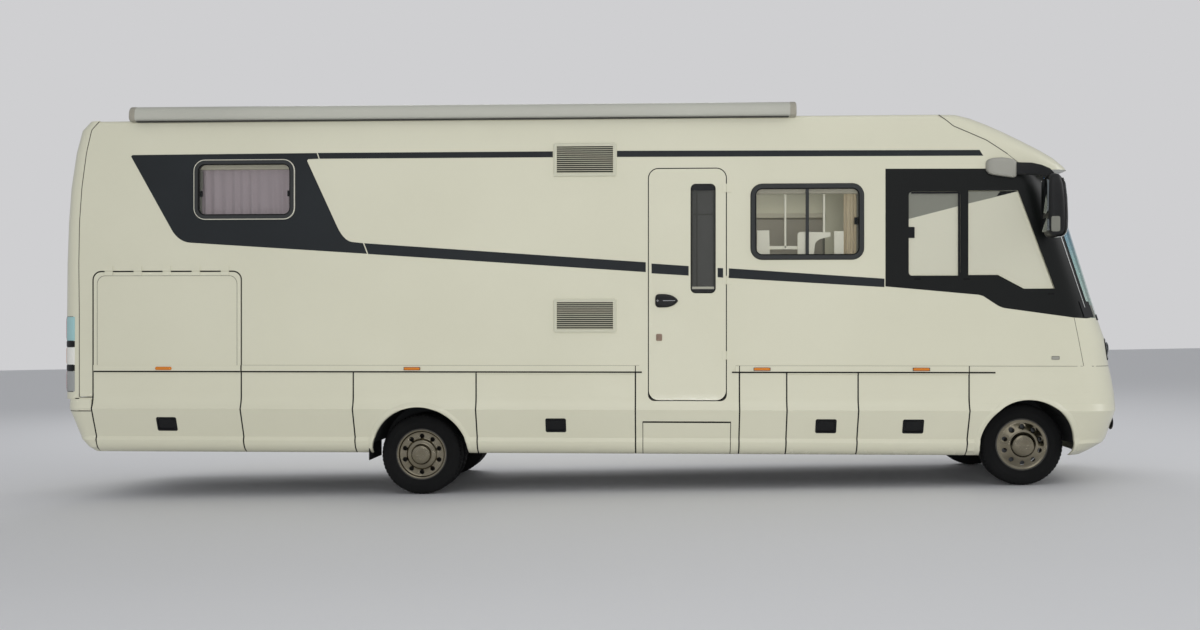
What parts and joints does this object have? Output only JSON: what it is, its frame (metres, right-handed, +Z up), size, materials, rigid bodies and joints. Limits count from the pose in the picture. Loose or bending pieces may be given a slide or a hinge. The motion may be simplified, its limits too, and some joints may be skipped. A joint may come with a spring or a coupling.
{
  "type": "motorhome",
  "caption": "Integrated motorhome on a light-truck chassis with twin rear wheels, hinged garage and locker doors, entry door, sliding step and steered front wheels.",
  "frame": {"origin": "on the ground, under the middle of the whole vehicle's box", "axes": "+X forward, +Y to the vehicle's left, +Z up"},
  "size_m": [9.0873, 2.88, 3.3679],
  "materials": {
    "ivory_panel": "glossy light ivory paint on sheet aluminium",
    "ivory_moulding": "glossy light ivory glass-fibre moulding",
    "window_glass": "tinted acrylic pane",
    "screen_glass": "laminated windscreen glass",
    "frame_plastic": "dark grey moulded frame",
    "black_plastic": "black grained moulding",
    "vent_plastic": "cream moulded grille",
    "awning_aluminium": "powder-coated extrusion",
    "frame_steel": "black chassis paint",
    "axle_iron": "black cast and forged iron",
    "spring_steel": "black painted spring steel",
    "exhaust_steel": "heat-stained steel",
    "tank_plastic": "black blow-moulded tank",
    "engine_iron": "grey cast iron and alloy",
    "tyre_rubber": "black tyre rubber",
    "wheel_steel": "polished stainless wheel cover",
    "lining": "grey storage lining",
    "housing_plastic": "black wheel housing",
    "lamp_lens": "clear moulded lens",
    "headlamp_lens": "clear polycarbonate lens",
    "dash_plastic": "grained dashboard moulding",
    "seat_cover": "beige leather",
    "cabinet": "veneered cabinet"
  },
  "bodies": {
    "coach_body": {"cab_side_right": "ivory_panel", "cab_side_left": "ivory_panel", "front_mask": "ivory_moulding", "headlamps": "headlamp_lens", "windscreen": "screen_glass", "front_bumper": "ivory_moulding", "roof_cap": "ivory_moulding", "rear_wall": "ivory_moulding", "rear_bumper": "ivory_moulding", "side_wall_right": "ivory_panel", "side_wall_left": "ivory_panel", "roof_panel": "ivory_panel", "awning_case": "awning_aluminium", "window_frames": "frame_plastic", "side_glass": "window_glass", "vents_and_hatches": "vent_plastic", "skirt_panels": "ivory_panel", "arch_panels": "ivory_panel", "floor_panel": "lining", "storage_linings": "lining", "wheel_housings": "housing_plastic", "chassis_rails": "frame_steel", "rear_frame": "frame_steel", "cross_members": "frame_steel", "outriggers": "frame_steel", "rear_axle": "axle_iron", "leaf_springs": "spring_steel", "engine_block": "engine_iron", "exhaust": "exhaust_steel", "fuel_tank": "tank_plastic", "front_suspension": "frame_steel", "mirrors": "black_plastic", "tail_and_marker_lamps": "lamp_lens", "dashboard": "dash_plastic", "cab_seats": "seat_cover", "interior_furniture": "cabinet"},
    "steering_right": {"front_knuckle_right": "axle_iron"},
    "steering_left": {"front_knuckle_left": "axle_iron"},
    "front_wheel_right": {"front_tyre_right": "tyre_rubber", "front_rim_right": "wheel_steel"},
    "front_wheel_left": {"front_tyre_left": "tyre_rubber", "front_rim_left": "wheel_steel"},
    "rear_wheels_right": {"rear_tyres_right": "tyre_rubber", "rear_rim_right": "wheel_steel"},
    "rear_wheels_left": {"rear_tyres_left": "tyre_rubber", "rear_rim_left": "wheel_steel"},
    "entry_door": {"entry_door": "ivory_panel", "entry_door_glass": "window_glass"},
    "entry_step": {"entry_step": "ivory_panel"},
    "garage_door_right": {"garage_door_right": "ivory_panel"},
    "garage_door_left": {"garage_door_left": "ivory_panel"},
    "locker_door_mid_right": {"locker_door_mid_right": "ivory_panel"},
    "locker_door_lounge_right": {"locker_door_lounge_right": "ivory_panel"},
    "locker_door_cab_right": {"locker_door_cab_right": "ivory_panel"},
    "locker_door_mid_left": {"locker_door_mid_left": "ivory_panel"}
  },
  "joints": [
    {"name": "steer_right", "type": "hinge", "parent": "coach_body", "child": "steering_right", "pos_m": [3.63818, -0.715, 0.345], "axis": [0.0196, 0, 0.9998], "range_deg": [-33, 33]},
    {"name": "front_wheel_right_spin", "type": "hinge", "parent": "steering_right", "child": "front_wheel_right", "pos_m": [3.63818, -0.845, 0.345], "axis": [0, 1, 0], "continuous": true},
    {"name": "rear_wheels_right_spin", "type": "hinge", "parent": "coach_body", "child": "rear_wheels_right", "pos_m": [-1.4628, -0.78, 0.345], "axis": [0, 1, 0], "continuous": true},
    {"name": "steer_left", "type": "hinge", "parent": "coach_body", "child": "steering_left", "pos_m": [3.63818, 0.715, 0.345], "axis": [0.0196, 0, 0.9998], "range_deg": [-33, 33]},
    {"name": "front_wheel_left_spin", "type": "hinge", "parent": "steering_left", "child": "front_wheel_left", "pos_m": [3.63818, 0.845, 0.345], "axis": [0, 1, 0], "continuous": true},
    {"name": "rear_wheels_left_spin", "type": "hinge", "parent": "coach_body", "child": "rear_wheels_left", "pos_m": [-1.4628, 0.78, 0.345], "axis": [0, 1, 0], "continuous": true},
    {"name": "entry_door_swing", "type": "hinge", "parent": "coach_body", "child": "entry_door", "pos_m": [1.17222, -1.15, 1.74861], "axis": [0.0196, 0, 0.9998], "range_deg": [0, 95]},
    {"name": "entry_step_slide", "type": "slide", "parent": "coach_body", "child": "entry_step", "axis": [0, -1, 0], "range_m": [0, 0.3]},
    {"name": "garage_door_right_lift", "type": "hinge", "parent": "coach_body", "child": "garage_door_right", "pos_m": [-3.59551, -1.1485, 1.96212], "axis": [-0.9998, 0, 0.0196], "range_deg": [0, 85]},
    {"name": "garage_door_left_lift", "type": "hinge", "parent": "coach_body", "child": "garage_door_left", "pos_m": [-3.59551, 1.1485, 1.96212], "axis": [0.9998, 0, -0.0196], "range_deg": [0, 85]},
    {"name": "locker_door_mid_right_lift", "type": "hinge", "parent": "coach_body", "child": "locker_door_mid_right", "pos_m": [-0.28028, -1.1485, 1.02295], "axis": [-0.9998, 0, 0.0196], "range_deg": [0, 95]},
    {"name": "locker_door_lounge_right_lift", "type": "hinge", "parent": "coach_body", "child": "locker_door_lounge_right", "pos_m": [1.95029, -1.1485, 0.97921], "axis": [-0.9998, 0, 0.0196], "range_deg": [0, 95]},
    {"name": "locker_door_cab_right_lift", "type": "hinge", "parent": "coach_body", "child": "locker_door_cab_right", "pos_m": [2.70214, -1.1485, 0.96447], "axis": [-0.9998, 0, 0.0196], "range_deg": [0, 95]},
    {"name": "locker_door_mid_left_lift", "type": "hinge", "parent": "coach_body", "child": "locker_door_mid_left", "pos_m": [-0.28028, 1.1485, 1.02295], "axis": [0.9998, 0, -0.0196], "range_deg": [0, 95]}
  ],
  "couplings": [
    {"joint": "steer_left", "follows": "steer_right", "ratio": 1}
  ]
}
